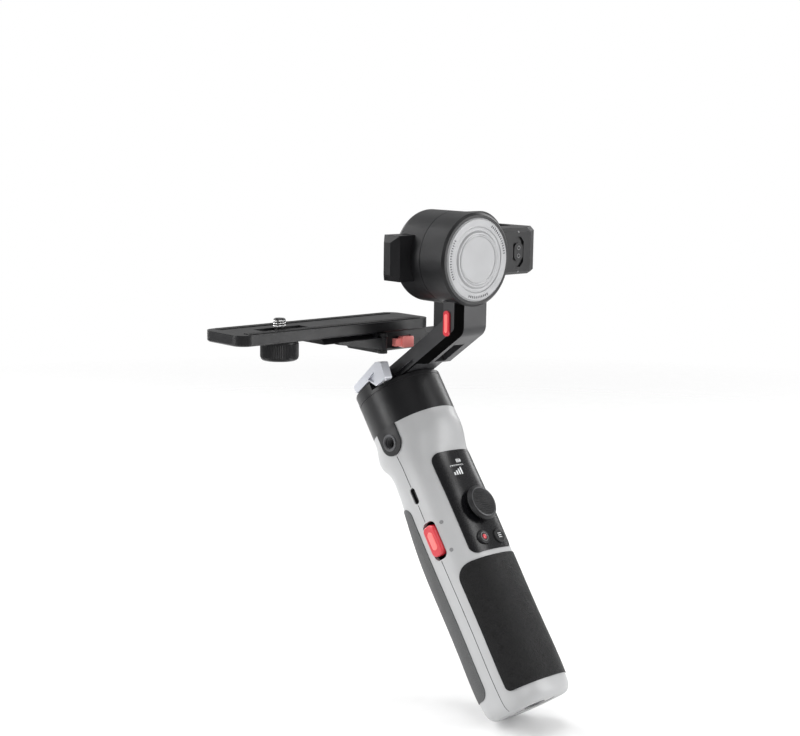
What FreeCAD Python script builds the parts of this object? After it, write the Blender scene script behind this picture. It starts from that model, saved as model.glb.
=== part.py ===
import FreeCAD, Part
import Sketcher
import math
import os
import re

# Handheld three-axis camera gimbal.  Millimetres, +Z up, +Y towards the subject, +X to the right.
# The origin is the mouth of the tripod socket under the handle.  The pan axis leans forward from
# it, the roll axis runs along Y behind the camera plate and the tilt axis runs along X beside it.
# Each motor sits in its own frame: z = 0 on its closed end, its rotor on the far side.

V = FreeCAD.Vector
Rotation = FreeCAD.Rotation
Placement = FreeCAD.Placement

DIMENSIONS = {
    "Posture": {"lean": 35.7, "twist": 5.9, "roll_height": 227.3, "roll_back": 49.5,
                "tilt_ahead": 118, "tilt_side": 71},
    "Handle": {"seam_height": 163, "grip_half_width": 23, "grip_back": 17.8, "grip_front": 26.3,
               "shell_wall": 2.4, "floor_wall": 3, "pad_proud": 0.4, "pad_sunk": 1.2,
               "back_pad_low": 9.4, "back_pad_high": 78.2, "front_pad_low": 11.5,
               "front_pad_high": 120, "pad_edge": 7.5, "back_pad_edge": 5.8, "panel_low": 81,
               "panel_high": 138.8, "panel_half_width": 16},
    "Motors": {"pan_radius": 24, "pan_can": 20.2, "pan_length": 22.5, "roll_radius": 24.5,
               "roll_can": 17.3, "roll_length": 38.4, "tilt_radius": 20, "tilt_can": 15,
               "tilt_length": 19.3, "can_wall": 1.6, "can_floor": 1.8, "rotor_gap": 0.3,
               "bell_clearance": 0.4, "bell_wall": 1.2, "magnet_depth": 1.2, "air_gap": 0.4,
               "shaft_radius": 3, "shaft_clearance": 0.03, "bearing_radius": 5.5, "tube_radius": 6.5,
               "core_radius": 9.5, "tooth_half": 1.3, "tip_depth": 1, "coil_turns": 0.9,
               "stack_low": 4.5, "stack_high": 12, "bearing_width": 3},
    "Thread": {"thread_radius": 3.2, "screw_radius": 3.15, "screw_neck": 2.4},
    "Controls": {"stick_height": 105.9, "stick_radius": 9.8, "stick_pivot": 11, "stem_radius": 2.4,
                 "button_radius": 3.8, "button_side": 6, "record_height": 88.2, "menu_height": 87.3,
                 "face_depth": 18.4, "rocker_height": 96.2, "rocker_length": 16.9,
                 "rocker_width": 8.2, "usb_height": 122.7, "boss_height": 154.7, "boss_half": 7.3},
    "Pan_arm": {"bar_half": 10.6, "bar_low": 186.3, "bar_high": 195.2, "bar_drop": 183.2,
                "bar_front": 10, "neck_back": 51.1, "neck_front": 63, "rail_width": 5,
                "lock_ahead": 59.7, "lock_height": 193.8},
    "Roll_arm": {"arm_low": 215.3, "arm_high": 239.3, "arm_back": 74.2, "arm_front": 86.4,
                 "tail_end": 35.2, "elbow_start": 27, "elbow_end": 73, "elbow_back": 73.6,
                 "elbow_front": 91, "slide_clearance": 0.15},
    "Camera_seat": {"plate_left": 115, "plate_right": 15, "plate_back": 99, "plate_front": 132.5,
                    "plate_low": 185.3, "plate_high": 191, "tongue_low": 181.4,
                    "clamp_left": 24, "clamp_right": 12, "clamp_back": 100.5, "clamp_front": 127,
                    "clamp_low": 174.5, "foot_low": 175.5, "foot_high": 181, "knob_radius": 9.8,
                    "knob_height": 10.4, "screw_left": 80.3, "screw_ahead": 112.5,
                    "arm_inner": 43.5, "arm_outer": 49.6, "hinge_left": 22, "hinge_back": 97.8},
}
DIM = {name: value for group in DIMENSIONS.values() for name, value in group.items()}

doc = FreeCAD.newDocument("CameraGimbal")
sheet = doc.addObject("Spreadsheet::Sheet", "Dims")
row = 1
for group, entries in DIMENSIONS.items():
    sheet.set(f"A{row}", group)
    row += 1
    for name, value in entries.items():
        sheet.set(f"A{row}", name)
        sheet.set(f"B{row}", str(value))
        sheet.setAlias(f"B{row}", name)
        row += 1
doc.recompute()

PARTS = []


def bound(text):
    """Write a size over the sheet's aliases as an expression that the document understands."""
    return re.sub(r"[a-z]\w*", lambda m: "Dims." + m.group(0) if m.group(0) in DIM else m.group(0),
                  str(text))


# ---------------------------------------------------------------- frames of the assembly

LEAN = Rotation(V(1, 0, 0), -DIM["lean"])
HANDLE = Placement(V(0, 0, 0), LEAN.multiply(Rotation(V(0, 0, 1), DIM["twist"])))
PAN = Placement(V(0, 0, 0), LEAN)
WORLD = Placement()
PAN_MOTOR = HANDLE.multiply(Placement(V(0, 0, DIM["seam_height"]), Rotation()))
PAN_MOTOR_TOP = PAN.multiply(Placement(V(0, 0, DIM["seam_height"]), Rotation()))
ROLL_MOTOR = Placement(V(0, DIM["roll_back"], DIM["roll_height"]), Rotation(V(1, 0, 0), -90))
TILT_MOTOR = Placement(V(DIM["tilt_side"], DIM["tilt_ahead"], DIM["roll_height"]),
                       Rotation(V(0, 1, 0), -90))


# ---------------------------------------------------------------- modelling helpers

def new_body(label, place):
    body = doc.addObject("PartDesign::Body", label)
    body.Label = label
    body.AllowCompound = True
    body.Placement = place
    PARTS.append(body)
    return body


def origin(body, role):
    return next(o for o in body.Origin.OriginFeatures if o.Role == role)


def sketch_on(body, role, start):
    sketch = body.newObject("Sketcher::SketchObject", body.Name + "_sketch")
    sketch.AttachmentSupport = [(origin(body, role), "")]
    sketch.MapMode = "FlatFace"
    if start is not None:
        sketch.setExpression("AttachmentOffset.Base.z", bound(start))
    return sketch


def place_point(sketch, edge, end, x, y, rough):
    for kind, text, value in (("DistanceX", x, rough.x), ("DistanceY", y, rough.y)):
        index = sketch.addConstraint(Sketcher.Constraint(kind, -1, 1, edge, end, value))
        sketch.setExpression(f"Constraints[{index}]", bound(text))


def draw_polygon(sketch, corners):
    """Close straight runs through the corners, each held by two dimensions from the sheet."""
    first = sketch.GeometryCount
    count = len(corners)
    rough = [V(9 * math.cos(2 * math.pi * i / count), 9 * math.sin(2 * math.pi * i / count), 0)
             for i in range(count)]
    for i in range(count):
        sketch.addGeometry(Part.LineSegment(rough[i], rough[(i + 1) % count]), False)
    for i in range(count):
        sketch.addConstraint(Sketcher.Constraint("Coincident", first + i, 2, first + (i + 1) % count, 1))
    for i, (x, y) in enumerate(corners):
        place_point(sketch, first + i, 1, x, y, rough[i])


def draw_circle(sketch, x, y, radius):
    index = sketch.addGeometry(Part.Circle(V(1, 1, 0), V(0, 0, 1), 1), False)
    size = sketch.addConstraint(Sketcher.Constraint("Radius", index, 1))
    sketch.setExpression(f"Constraints[{size}]", bound(radius))
    place_point(sketch, index, 3, x, y, V(1, 1, 0))


def rectangle(x0, y0, x1, y1):
    return [(x0, y0), (x1, y0), (x1, y1), (x0, y1)]


def draw(sketch, outlines):
    for outline in outlines:
        if isinstance(outline, list):
            draw_polygon(sketch, outline)
        else:
            draw_circle(sketch, *outline)


def prism(body, role, start, length, outlines, cut=False):
    """Pad, or cut, the outlines from start over length along the plane's normal."""
    before = body.Shape.Volume if cut else 0
    sketch = sketch_on(body, role, start)
    draw(sketch, outlines)
    kind = "Pocket" if cut else "Pad"
    feature = body.newObject("PartDesign::" + kind, body.Name + "_" + kind.lower())
    feature.Profile = sketch
    feature.Reversed = cut
    feature.setExpression("Length", bound(length))
    doc.recompute()
    if cut and not body.Shape.Volume < before - 1e-6:
        raise RuntimeError(f"a pocket of {body.Label} removes nothing")
    return feature


def turn(body, outlines, cut=False):
    """Revolve outlines of (radius, height) about the body's own Z axis."""
    before = body.Shape.Volume if cut else 0
    sketch = sketch_on(body, "XZ_Plane", 0)
    draw(sketch, outlines)
    kind = "Groove" if cut else "Revolution"
    feature = body.newObject("PartDesign::" + kind, body.Name + "_" + kind.lower())
    feature.Profile = sketch
    feature.ReferenceAxis = (origin(body, "Z_Axis"), [""])
    feature.Angle = 360
    doc.recompute()
    if cut and not body.Shape.Volume < before - 1e-6:
        raise RuntimeError(f"a groove of {body.Label} removes nothing")
    return feature


def ring_of(body, feature, count):
    """Repeat a feature evenly about the body's own Z axis."""
    pattern = body.newObject("PartDesign::PolarPattern", body.Name + "_ring")
    pattern.Originals = [feature]
    pattern.Axis = (origin(body, "Z_Axis"), [""])
    pattern.Angle = 360
    pattern.Occurrences = count
    body.Tip = pattern
    doc.recompute()


def edges_where(body, test):
    base = body.Tip
    names = [f"Edge{i + 1}" for i, edge in enumerate(base.Shape.Edges) if test(edge)]
    if not names:
        raise RuntimeError(f"no edge of {body.Label} matches")
    return base, names


def dress(body, kind, size, test):
    """Fillet or chamfer the edges of the body that pass the test, in the body's own frame."""
    base, names = edges_where(body, test)
    feature = body.newObject("PartDesign::" + kind, body.Name + "_" + kind.lower())
    feature.Base = (base, names)
    feature.setExpression("Radius" if kind == "Fillet" else "Size", bound(size))
    body.Tip = feature
    doc.recompute()
    if "Invalid" in feature.State or "Error" in feature.State or not feature.Shape.isValid():
        raise RuntimeError(f"{kind} {size} fails on {body.Label}")
    return feature


def straight(edge, axis, shortest=0.0):
    """True for a straight edge along the given axis, at least as long as asked."""
    if edge.Curve.TypeId != "Part::GeomLine" or edge.Length < shortest:
        return False
    direction = edge.tangentAt(edge.FirstParameter)
    return abs(abs(direction.dot(axis)) - 1) < 1e-6


def middle(edge):
    return edge.valueAt((edge.FirstParameter + edge.LastParameter) / 2)


def round_edge(edge, radius, height):
    """True for a circular edge of this radius at this height in the body's frame."""
    if edge.Curve.TypeId != "Part::GeomCircle":
        return False
    return abs(edge.Curve.Radius - radius) < 1e-3 and abs(edge.Curve.Center.z - height) < 1e-3


X_AXIS, Y_AXIS, Z_AXIS = V(1, 0, 0), V(0, 1, 0), V(0, 0, 1)


def free_shape(label, shape, place):
    feature = doc.addObject("Part::Feature", label)
    feature.Label = label
    feature.Shape = shape
    feature.Placement = place
    PARTS.append(feature)
    return feature


# ---------------------------------------------------------------- brushless motors

def motor(name, place, rotor_place):
    """One motor: can, core, coils and bearings on its fixed side, bell, magnets and shaft on the other."""
    radius, can, length = f"{name}_radius", f"{name}_can", f"{name}_length"
    bell = f"({radius} - can_wall - bell_clearance)"
    magnet = f"({bell} - bell_wall)"
    tip = f"({magnet} - magnet_depth - air_gap)"
    tube_top = f"({can} - 2)"

    housing = new_body(f"{name}_housing", place)
    turn(housing, [[("bearing_radius", "0"), (radius, "0"), (radius, can),
                    (f"{radius} - can_wall", can), (f"{radius} - can_wall", "can_floor"),
                    ("tube_radius", "can_floor"), ("tube_radius", tube_top),
                    ("bearing_radius", tube_top)]])

    bearings = new_body(f"{name}_bearings", place)
    inner = "shaft_radius + shaft_clearance"
    turn(bearings, [rectangle(inner, "1", "bearing_radius", "1 + bearing_width"),
                    rectangle(inner, f"{tube_top} - bearing_width", "bearing_radius", tube_top)])

    core = new_body(f"{name}_stator", place)
    turn(core, [rectangle("tube_radius", "stack_low", "core_radius", "stack_high")])
    tooth = prism(core, "XY_Plane", "stack_low", "stack_high - stack_low",
                  [[("core_radius - 1", "-tooth_half"), (f"{tip} - tip_depth", "-tooth_half"),
                    (f"{tip} - tip_depth", "-2.4 * tooth_half"), (tip, "-2.1 * tooth_half"),
                    (tip, "2.1 * tooth_half"), (f"{tip} - tip_depth", "2.4 * tooth_half"),
                    (f"{tip} - tip_depth", "tooth_half"), ("core_radius - 1", "tooth_half")]])
    ring_of(core, tooth, 12)

    coils = new_body(f"{name}_coils", place)
    wound = prism(coils, "YZ_Plane", "core_radius + 0.4", f"{tip} - tip_depth - core_radius - 0.6",
                  [rectangle("-tooth_half - coil_turns", "stack_low - coil_turns",
                             "tooth_half + coil_turns", "stack_high + coil_turns"),
                   rectangle("-tooth_half - 0.05", "stack_low - 0.05",
                             "tooth_half + 0.05", "stack_high + 0.05")])
    ring_of(coils, wound, 12)

    rotor = new_body(f"{name}_rotor", rotor_place)
    deck, shaft_top = f"{can} + rotor_gap", f"{can} + rotor_gap + 1.5"
    turn(rotor, [[("shaft_radius", f"{can} - 1.2"), ("shaft_radius", shaft_top), ("0", shaft_top),
                  ("0", length), (radius, length), (radius, deck), (bell, deck),
                  (bell, "stack_low"), (f"{bell} - bell_wall", "stack_low"),
                  (f"{bell} - bell_wall", f"{can} - 1.2")]])

    magnets = new_body(f"{name}_magnets", rotor_place)
    block = prism(magnets, "XY_Plane", "stack_low", "stack_high - stack_low",
                  [[(f"{magnet} - magnet_depth", "-3"), (f"{magnet} - 0.35", "-3"),
                    (f"{magnet} - 0.35", "3"), (f"{magnet} - magnet_depth", "3")]])
    ring_of(magnets, block, 14)

    shaft = new_body(f"{name}_shaft", rotor_place)
    turn(shaft, [rectangle("1.6", "0.6", "shaft_radius", shaft_top)])
    return housing, rotor


# ---------------------------------------------------------------- handle shells

def grip_stations():
    """Half width, rear depth, front depth and squareness of the grip at each height."""
    wide, back, front, top = (DIM["grip_half_width"], DIM["grip_back"], DIM["grip_front"],
                              DIM["pan_radius"])
    seam = DIM["seam_height"]
    return [(0, wide - 4.6, back - 4.2, front - 5.2, 2.4), (0.9, wide - 2.6, back - 2.4, front - 3, 2.4),
            (3.2, wide - 1, back - 0.9, front - 1.2, 2.4), (8, wide - 0.1, back - 0.2, front - 0.2, 2.4),
            (40, wide, back, front, 2.4), (70, wide + 0.1, back + 0.1, front, 2.4),
            (95, wide + 0.3, back + 0.3, front - 0.9, 2.4), (120, wide, back + 0.4, front - 4.6, 2.4),
            (136, wide - 0.2, back + 0.5, front - 6, 2.35), (142, wide, back + 1.3, front - 4.6, 2.3),
            (148, top - 0.4, top - 2.2, top + 2.2, 2.15), (153, top - 0.1, top - 0.4, top + 2.6, 2.05),
            (158, top, top, top + 0.6, 2), (seam, top, top, top, 2)]


def grip_section(height, wide, back, front, power, offset):
    """A closed superellipse whose rear and front halves have their own depths."""
    count = 40
    points = []
    for i in range(count):
        angle = 2 * math.pi * i / count
        c, s = math.cos(angle), math.sin(angle)
        depth = (front if s > 0 else back) + offset
        x = math.copysign(abs(c) ** (2 / power), c) * (wide + offset)
        y = math.copysign(abs(s) ** (2 / power), s) * depth
        points.append(V(x, y, height))
    curve = Part.BSplineCurve()
    curve.interpolate(points, True)
    return Part.Wire([curve.toShape()])


def grip_solid(offset, low=0.0, high=None):
    """The grip's outer form, grown or shrunk by offset, between two heights."""
    wires = [grip_section(*station, offset) for station in grip_stations()]
    solid = Part.makeLoft(wires, True, False)
    high = DIM["seam_height"] if high is None else high
    return solid.common(Part.makeBox(80, 80, high - low, V(-40, -40, low)))


def upright(x, z, radius, y0, y1):
    """A cylinder along the handle's front-to-back direction."""
    return Part.makeCylinder(radius, y1 - y0, V(x, y0, z), Y_AXIS)


def rounded_window(x0, z0, x1, z1, y0, y1, radius):
    box = Part.makeBox(x1 - x0, y1 - y0, z1 - z0, V(x0, y0, z0))
    return box.makeFillet(radius, [e for e in box.Edges if straight(e, Y_AXIS)])


def side_window(y0, z0, y1, z1, x0, x1, radius):
    box = Part.makeBox(x1 - x0, y1 - y0, z1 - z0, V(x0, y0, z0))
    return box.makeFillet(radius, [e for e in box.Edges if straight(e, X_AXIS)])


def back_pad_window():
    """The rear pad's opening wraps round the sides, with well rounded upper corners."""
    low, high, edge = DIM["back_pad_low"], DIM["back_pad_high"], -DIM["back_pad_edge"]
    box = Part.makeBox(60, 40, high - low, V(-30, edge - 40, low))
    near = [e for e in box.Edges if straight(e, X_AXIS) and middle(e).y > edge - 1]
    upper = [e for e in near if middle(e).z > high - 1]
    box = box.makeFillet(8.5, upper)
    lower = [e for e in box.Edges if straight(e, X_AXIS) and (middle(e) - V(0, edge, low)).Length < 1]
    return box.makeFillet(3, lower)


def front_pad_window():
    low, high, edge = DIM["front_pad_low"], DIM["front_pad_high"], DIM["pad_edge"]
    box = Part.makeBox(70, 45, high - low, V(-35, edge, low))
    near = [e for e in box.Edges if straight(e, X_AXIS) and middle(e).y < edge + 1]
    return box.makeFillet(6, near)


def screw_posts():
    side, low, high = 13.5, DIM["panel_low"] + 3.6, DIM["panel_high"] - 4
    return [(x, z) for x in (-side, side) for z in (low, high)]


def build_handle():
    wall, proud, sunk = DIM["shell_wall"], DIM["pad_proud"], DIM["pad_sunk"]
    seam, floor = DIM["seam_height"], DIM["floor_wall"]
    outer = grip_solid(0)
    hollow = grip_solid(-wall, floor)
    skin = grip_solid(proud).cut(grip_solid(-sunk))
    pad_bed = grip_solid(5).cut(grip_solid(-sunk))
    half, low, high = DIM["panel_half_width"], DIM["panel_low"], DIM["panel_high"]
    panel_window = rounded_window(-half, low, half, high, -40, -4, 4.5)
    controls = DIM["stick_height"]
    side = DIM["button_side"]
    buttons = [(-side, DIM["record_height"]), (side, DIM["menu_height"])]
    hole = DIM["button_radius"] + 0.25

    back_pad = skin.common(back_pad_window())
    front_pad = skin.common(front_pad_window())
    panel = skin.common(panel_window)
    stick_hole = 5.4
    panel = panel.cut(upright(0, controls, stick_hole, -40, 0))
    for x, z in buttons:
        panel = panel.cut(upright(x, z, hole, -40, 0))

    shell = outer.cut(hollow).cut(pad_bed.common(back_pad_window()))
    shell = shell.cut(pad_bed.common(front_pad_window())).cut(pad_bed.common(panel_window))
    shell = shell.cut(Part.makeCylinder(11, floor + 2, V(0, 0, -1)))
    half_space = Part.makeBox(100, 60, seam + 20, V(-50, 0, -10))

    # Screw posts stand between the two shells, behind the panel and clear of the cells.
    front_posts, back_posts, bores = [], [], []
    post, shank, head = 2.9, 1.0, 2.1
    for x, z in screw_posts():
        front_posts.append(upright(x, z, post, 0, 18))
        back_posts.append(upright(x, z, post, -15, 0))
        bores.append(upright(x, z, shank, -16, 10))
        bores.append(upright(x, z, head, -20, -10))
    inside = grip_solid(-sunk - 0.1, floor)
    front = shell.common(half_space).fuse([p.common(inside) for p in front_posts])
    back = shell.cut(half_space).fuse([p.common(inside) for p in back_posts])

    rocker_z, rocker_half = DIM["rocker_height"], DIM["rocker_length"] / 2 + 2.1
    width = DIM["rocker_width"] / 2
    rocker_window = side_window(-width - 1.3, rocker_z - rocker_half, width - 0.7,
                                rocker_z + rocker_half, -30, -17, 3)
    usb_z = DIM["usb_height"]
    usb_window = side_window(-1.75, usb_z - 4.6, 1.75, usb_z + 4.6, -30, -17, 1.7)
    boss_z, boss_half = DIM["boss_height"], DIM["boss_half"]
    boss_window = Part.makeBox(14, 2 * boss_half, seam - boss_z, V(-30, -boss_half, boss_z))
    boss_window = boss_window.fuse(Part.makeCylinder(boss_half, 14, V(-30, 0, boss_z), X_AXIS))
    front_cut = [rocker_window, usb_window, boss_window] + bores
    back_cut = front_cut + [upright(0, controls, stick_hole + 0.4, -40, 0)]
    back_cut += [upright(x, z, hole + 0.2, -40, 0) for x, z in buttons]
    display_window = Part.makeBox(22, 20, 12, V(-11, -30, panel_middle() - 6))
    back_cut.append(display_window)
    front = front.cut(front_cut)
    back = back.cut(back_cut)

    free_shape("front_shell", front, HANDLE)
    free_shape("rear_shell", back, HANDLE)
    free_shape("rear_grip_pad", back_pad, HANDLE)
    free_shape("front_grip_pad", front_pad, HANDLE)
    free_shape("control_panel", panel, HANDLE)

    boss_blank = boss_window.common(grip_solid(0.9).cut(grip_solid(-4.2)))
    insert_depth, insert_wall = 7, 1.5
    boss_face = -(DIM["pan_radius"] + 0.9)
    socket = Part.makeCylinder(DIM["thread_radius"] + insert_wall, insert_depth + 6,
                               V(boss_face - 3, 0, boss_z), X_AXIS)
    post_back = Part.makeCylinder(boss_half - 0.6, 6, V(boss_face + 2, 0, boss_z), X_AXIS)
    boss = boss_blank.fuse(post_back).cut(socket)
    free_shape("side_boss", boss, HANDLE)
    return boss_face


def panel_middle():
    """Height of the display behind the panel."""
    return DIM["panel_high"] - 11


# ---------------------------------------------------------------- pieces inside and on the handle

def build_inserts(boss_face):
    wall, depth = 1.5, 7
    insert = new_body("accessory_insert", HANDLE)
    start = f"{boss_face + 0.2}"
    prism(insert, "YZ_Plane", start, f"{depth}",
          [("0", "boss_height", f"thread_radius + {wall}"), ("0", "boss_height", "thread_radius")])

    plate = new_body("base_plate", HANDLE)
    prism(plate, "XY_Plane", "0.3", "floor_wall + 1.2", [("0", "0", "10.9"), ("0", "0", "thread_radius + 2.4")])
    flange = new_body("tripod_insert", HANDLE)
    turn(flange, [[("thread_radius", "0"), ("thread_radius + 2.4", "0"), ("thread_radius + 2.4", "9"),
                   ("thread_radius", "9")]])


def build_power():
    """Two 18650 cells between the end boards of their carrier, and the electronics above them."""
    cells = new_body("battery_cells", HANDLE)
    radius, length, low, side, ahead = 9.1, 65, 11.2, 9.4, 4.5
    prism(cells, "XY_Plane", f"{low}", f"{length}",
          [(f"-{side}", f"{ahead}", f"{radius}"), (f"{side}", f"{ahead}", f"{radius}")])
    carrier = new_body("battery_carrier", HANDLE)
    end_board, half_width, rear, front = 1.6, 16, 6.5, 11
    end = [rectangle(f"-{half_width}", f"-{rear}", f"{half_width}", f"{front}")]
    prism(carrier, "XY_Plane", f"{low - 0.2 - end_board}", f"{end_board}", end)
    prism(carrier, "XY_Plane", f"{low + length + 0.2}", f"{end_board}", end)
    prism(carrier, "XY_Plane", f"{low - 0.2}", f"{length + 0.4}", [rectangle("-12", f"-{rear}", "12", "-5.1")])

    board = new_body("main_board", HANDLE)
    prism(board, "XZ_Plane", "6.4", "1.6", [rectangle("-10.2", "80", "10.2", "136")])
    display = new_body("display_module", HANDLE)
    middle_z = panel_middle()
    prism(display, "XZ_Plane", "8.1", "7.4",
          [rectangle("-9", f"{middle_z - 5}", "9", f"{middle_z + 5}")])
    usb = new_body("usb_port", HANDLE)
    prism(usb, "YZ_Plane", "-grip_half_width + 0.6", "7",
          [rectangle("-1.6", "usb_height - 4.45", "1.6", "usb_height + 4.45")])
    dress(usb, "Fillet", "1.4", lambda e: straight(e, X_AXIS))
    prism(usb, "YZ_Plane", "-grip_half_width + 0.6", "6",
          [rectangle("-1.2", "usb_height - 4.0", "1.2", "usb_height + 4.0")], cut=True)
    prism(usb, "YZ_Plane", "-grip_half_width + 1.4", "5.5",
          [rectangle("-0.35", "usb_height - 3.1", "0.35", "usb_height + 3.1")])


def build_screws():
    shapes = []
    shank, head, head_length = 0.98, 1.9, 1.6
    for x, z in screw_posts():
        shapes.append(upright(x, z, shank, -10, 9).fuse(upright(x, z, head, -10 - head_length, -10)))
    free_shape("case_screws", Part.makeCompound(shapes), HANDLE)


def build_controls():
    """Thumb stick, two push buttons and the side rocker."""
    base = new_body("joystick_base", HANDLE)
    prism(base, "XZ_Plane", "8", "0.8", [("0", "stick_height", "8")])
    prism(base, "XZ_Plane", "8.8", "4.6", [("0", "stick_height", "8"), ("0", "stick_height", "6.8")])

    ring = new_body("joystick_ring", HANDLE)
    prism(ring, "XZ_Plane", "stick_pivot - 0.9", "1.8",
          [("0", "stick_height", "6.3"), ("0", "stick_height", "4.6")])

    stick = new_body("joystick", HANDLE.multiply(Placement(V(0, -DIM["stick_pivot"], DIM["stick_height"]),
                                                           Rotation(X_AXIS, 90))))
    cap_low = "(face_depth - stick_pivot + 1.5)"
    turn(stick, [[("0", "-0.9"), ("stem_radius", "-0.9"), ("stem_radius", cap_low), ("5.5", cap_low),
                  ("stick_radius", f"{cap_low} + 1.4"), ("stick_radius", f"{cap_low} + 2.4"),
                  ("stick_radius - 1.2", f"{cap_low} + 3.6"), ("stick_radius - 2.4", f"{cap_low} + 3.4"),
                  ("0", f"{cap_low} + 2.6")]])

    for label, x, height in (("record_button", "-button_side", "record_height"),
                             ("menu_button", "button_side", "menu_height")):
        button = new_body(label, HANDLE)
        prism(button, "XZ_Plane", "12.6", "face_depth - 11.7", [(x, height, "button_radius")])
        prism(button, "XZ_Plane", "10.7", "2", [(x, height, "1.2")])
        dress(button, "Fillet", "0.7",
              lambda e: e.Curve.TypeId == "Part::GeomCircle" and middle(e).y < -DIM["face_depth"] + 0.5)

    switches = new_body("tact_switches", HANDLE)
    prism(switches, "XZ_Plane", "8", "2",
          [rectangle(f"{x} - 2", f"{height} - 2", f"{x} + 2", f"{height} + 2")
           for x, height in (("-button_side", "record_height"), ("button_side", "menu_height"))])

    rocker = new_body("zoom_rocker", HANDLE)
    face, middle_y = -DIM["grip_half_width"] - 1.9, -1.0
    prism(rocker, "YZ_Plane", f"{face}", "4",
          [rectangle(f"{middle_y} - rocker_width / 2", "rocker_height - rocker_length / 2",
                     f"{middle_y} + rocker_width / 2", "rocker_height + rocker_length / 2")])
    dress(rocker, "Fillet", "3", lambda e: straight(e, X_AXIS))
    dress(rocker, "Fillet", "0.9", lambda e: abs(middle(e).x - face) < 1e-3)
    prism(rocker, "YZ_Plane", f"{face + 4}", "1.4",
          [rectangle(f"{middle_y} - 3", "rocker_height - 1.5", f"{middle_y} + 3", "rocker_height + 1.5")])
    prism(switches, "YZ_Plane", f"{face + 6.2}", "2.6",
          [rectangle(f"{middle_y} - 3", f"rocker_height {side} 5 - 2",
                     f"{middle_y} + 3", f"rocker_height {side} 5 + 2") for side in "+-"])


# ---------------------------------------------------------------- pan axis: saddle, lever and arm

def world_y(back, up):
    """Distance ahead of the pan axis of a point given by its world Y and Z."""
    return f"(({back}) * cos(lean * 1 deg) - ({up}) * sin(lean * 1 deg))"


def world_z(back, up):
    """Height along the pan axis of a point given by its world Y and Z."""
    return f"(({back}) * sin(lean * 1 deg) + ({up}) * cos(lean * 1 deg))"


def build_saddle():
    saddle = new_body("arm_saddle", PAN)
    top = "seam_height + pan_length"
    gap = "slide_clearance"
    # A low block of the drum's own outline stands on the left, in front of the lever.
    prism(saddle, "XY_Plane", top, "4.3", [("0", "0", "pan_radius - 0.1")])
    prism(saddle, "XY_Plane", top, "5", [rectangle(f"-bar_half - {gap}", "-40", "40", "40")], cut=True)
    prism(saddle, "XY_Plane", top, "5", [rectangle("-40", "-40", f"-bar_half + {gap}", "-4.8")], cut=True)
    for side, far in (("-", "-"), ("", "")):
        prism(saddle, "XY_Plane", top, "5.2",
              [rectangle(f"{side}(bar_half + {gap})", "-12", f"{far}(bar_half + rail_width)", "11")])
        prism(saddle, "XY_Plane", f"{top} + 2.6", "1.4",
              [rectangle(f"{side}(bar_half - 1)", "-12", f"{far}(bar_half + 1)", "11")])
    prism(saddle, "XY_Plane", f"{top} + 5", "3.6",
          [rectangle(f"-(bar_half + {gap})", "-11", "-(bar_half + rail_width - 0.3)", "2")])

    pin = new_body("lever_pin", PAN)
    prism(pin, "XY_Plane", top, "11", [("-20.6", "-13.6", "1.5")])

    lever = new_body("balance_lever", PAN)
    prism(lever, "YZ_Plane", "-23", "5.2",
          [[("-17.5", "186"), ("-19.3", "195"), ("-15.2", "197.3"), ("8.4", "194.8"), ("8.4", "190.2"),
            ("-4.9", "191.2"), ("-8.6", "186")]])
    dress(lever, "Fillet", "0.8", lambda e: straight(e, X_AXIS))
    prism(lever, "YZ_Plane", "-23", "1.6",
          [[("-11.5", "193.6"), ("-8.4", "188.2"), ("-4.6", "192.2")]], cut=True)
    prism(lever, "XY_Plane", "185.9", "12", [("-20.6", "-13.6", "1.55")], cut=True)


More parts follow.
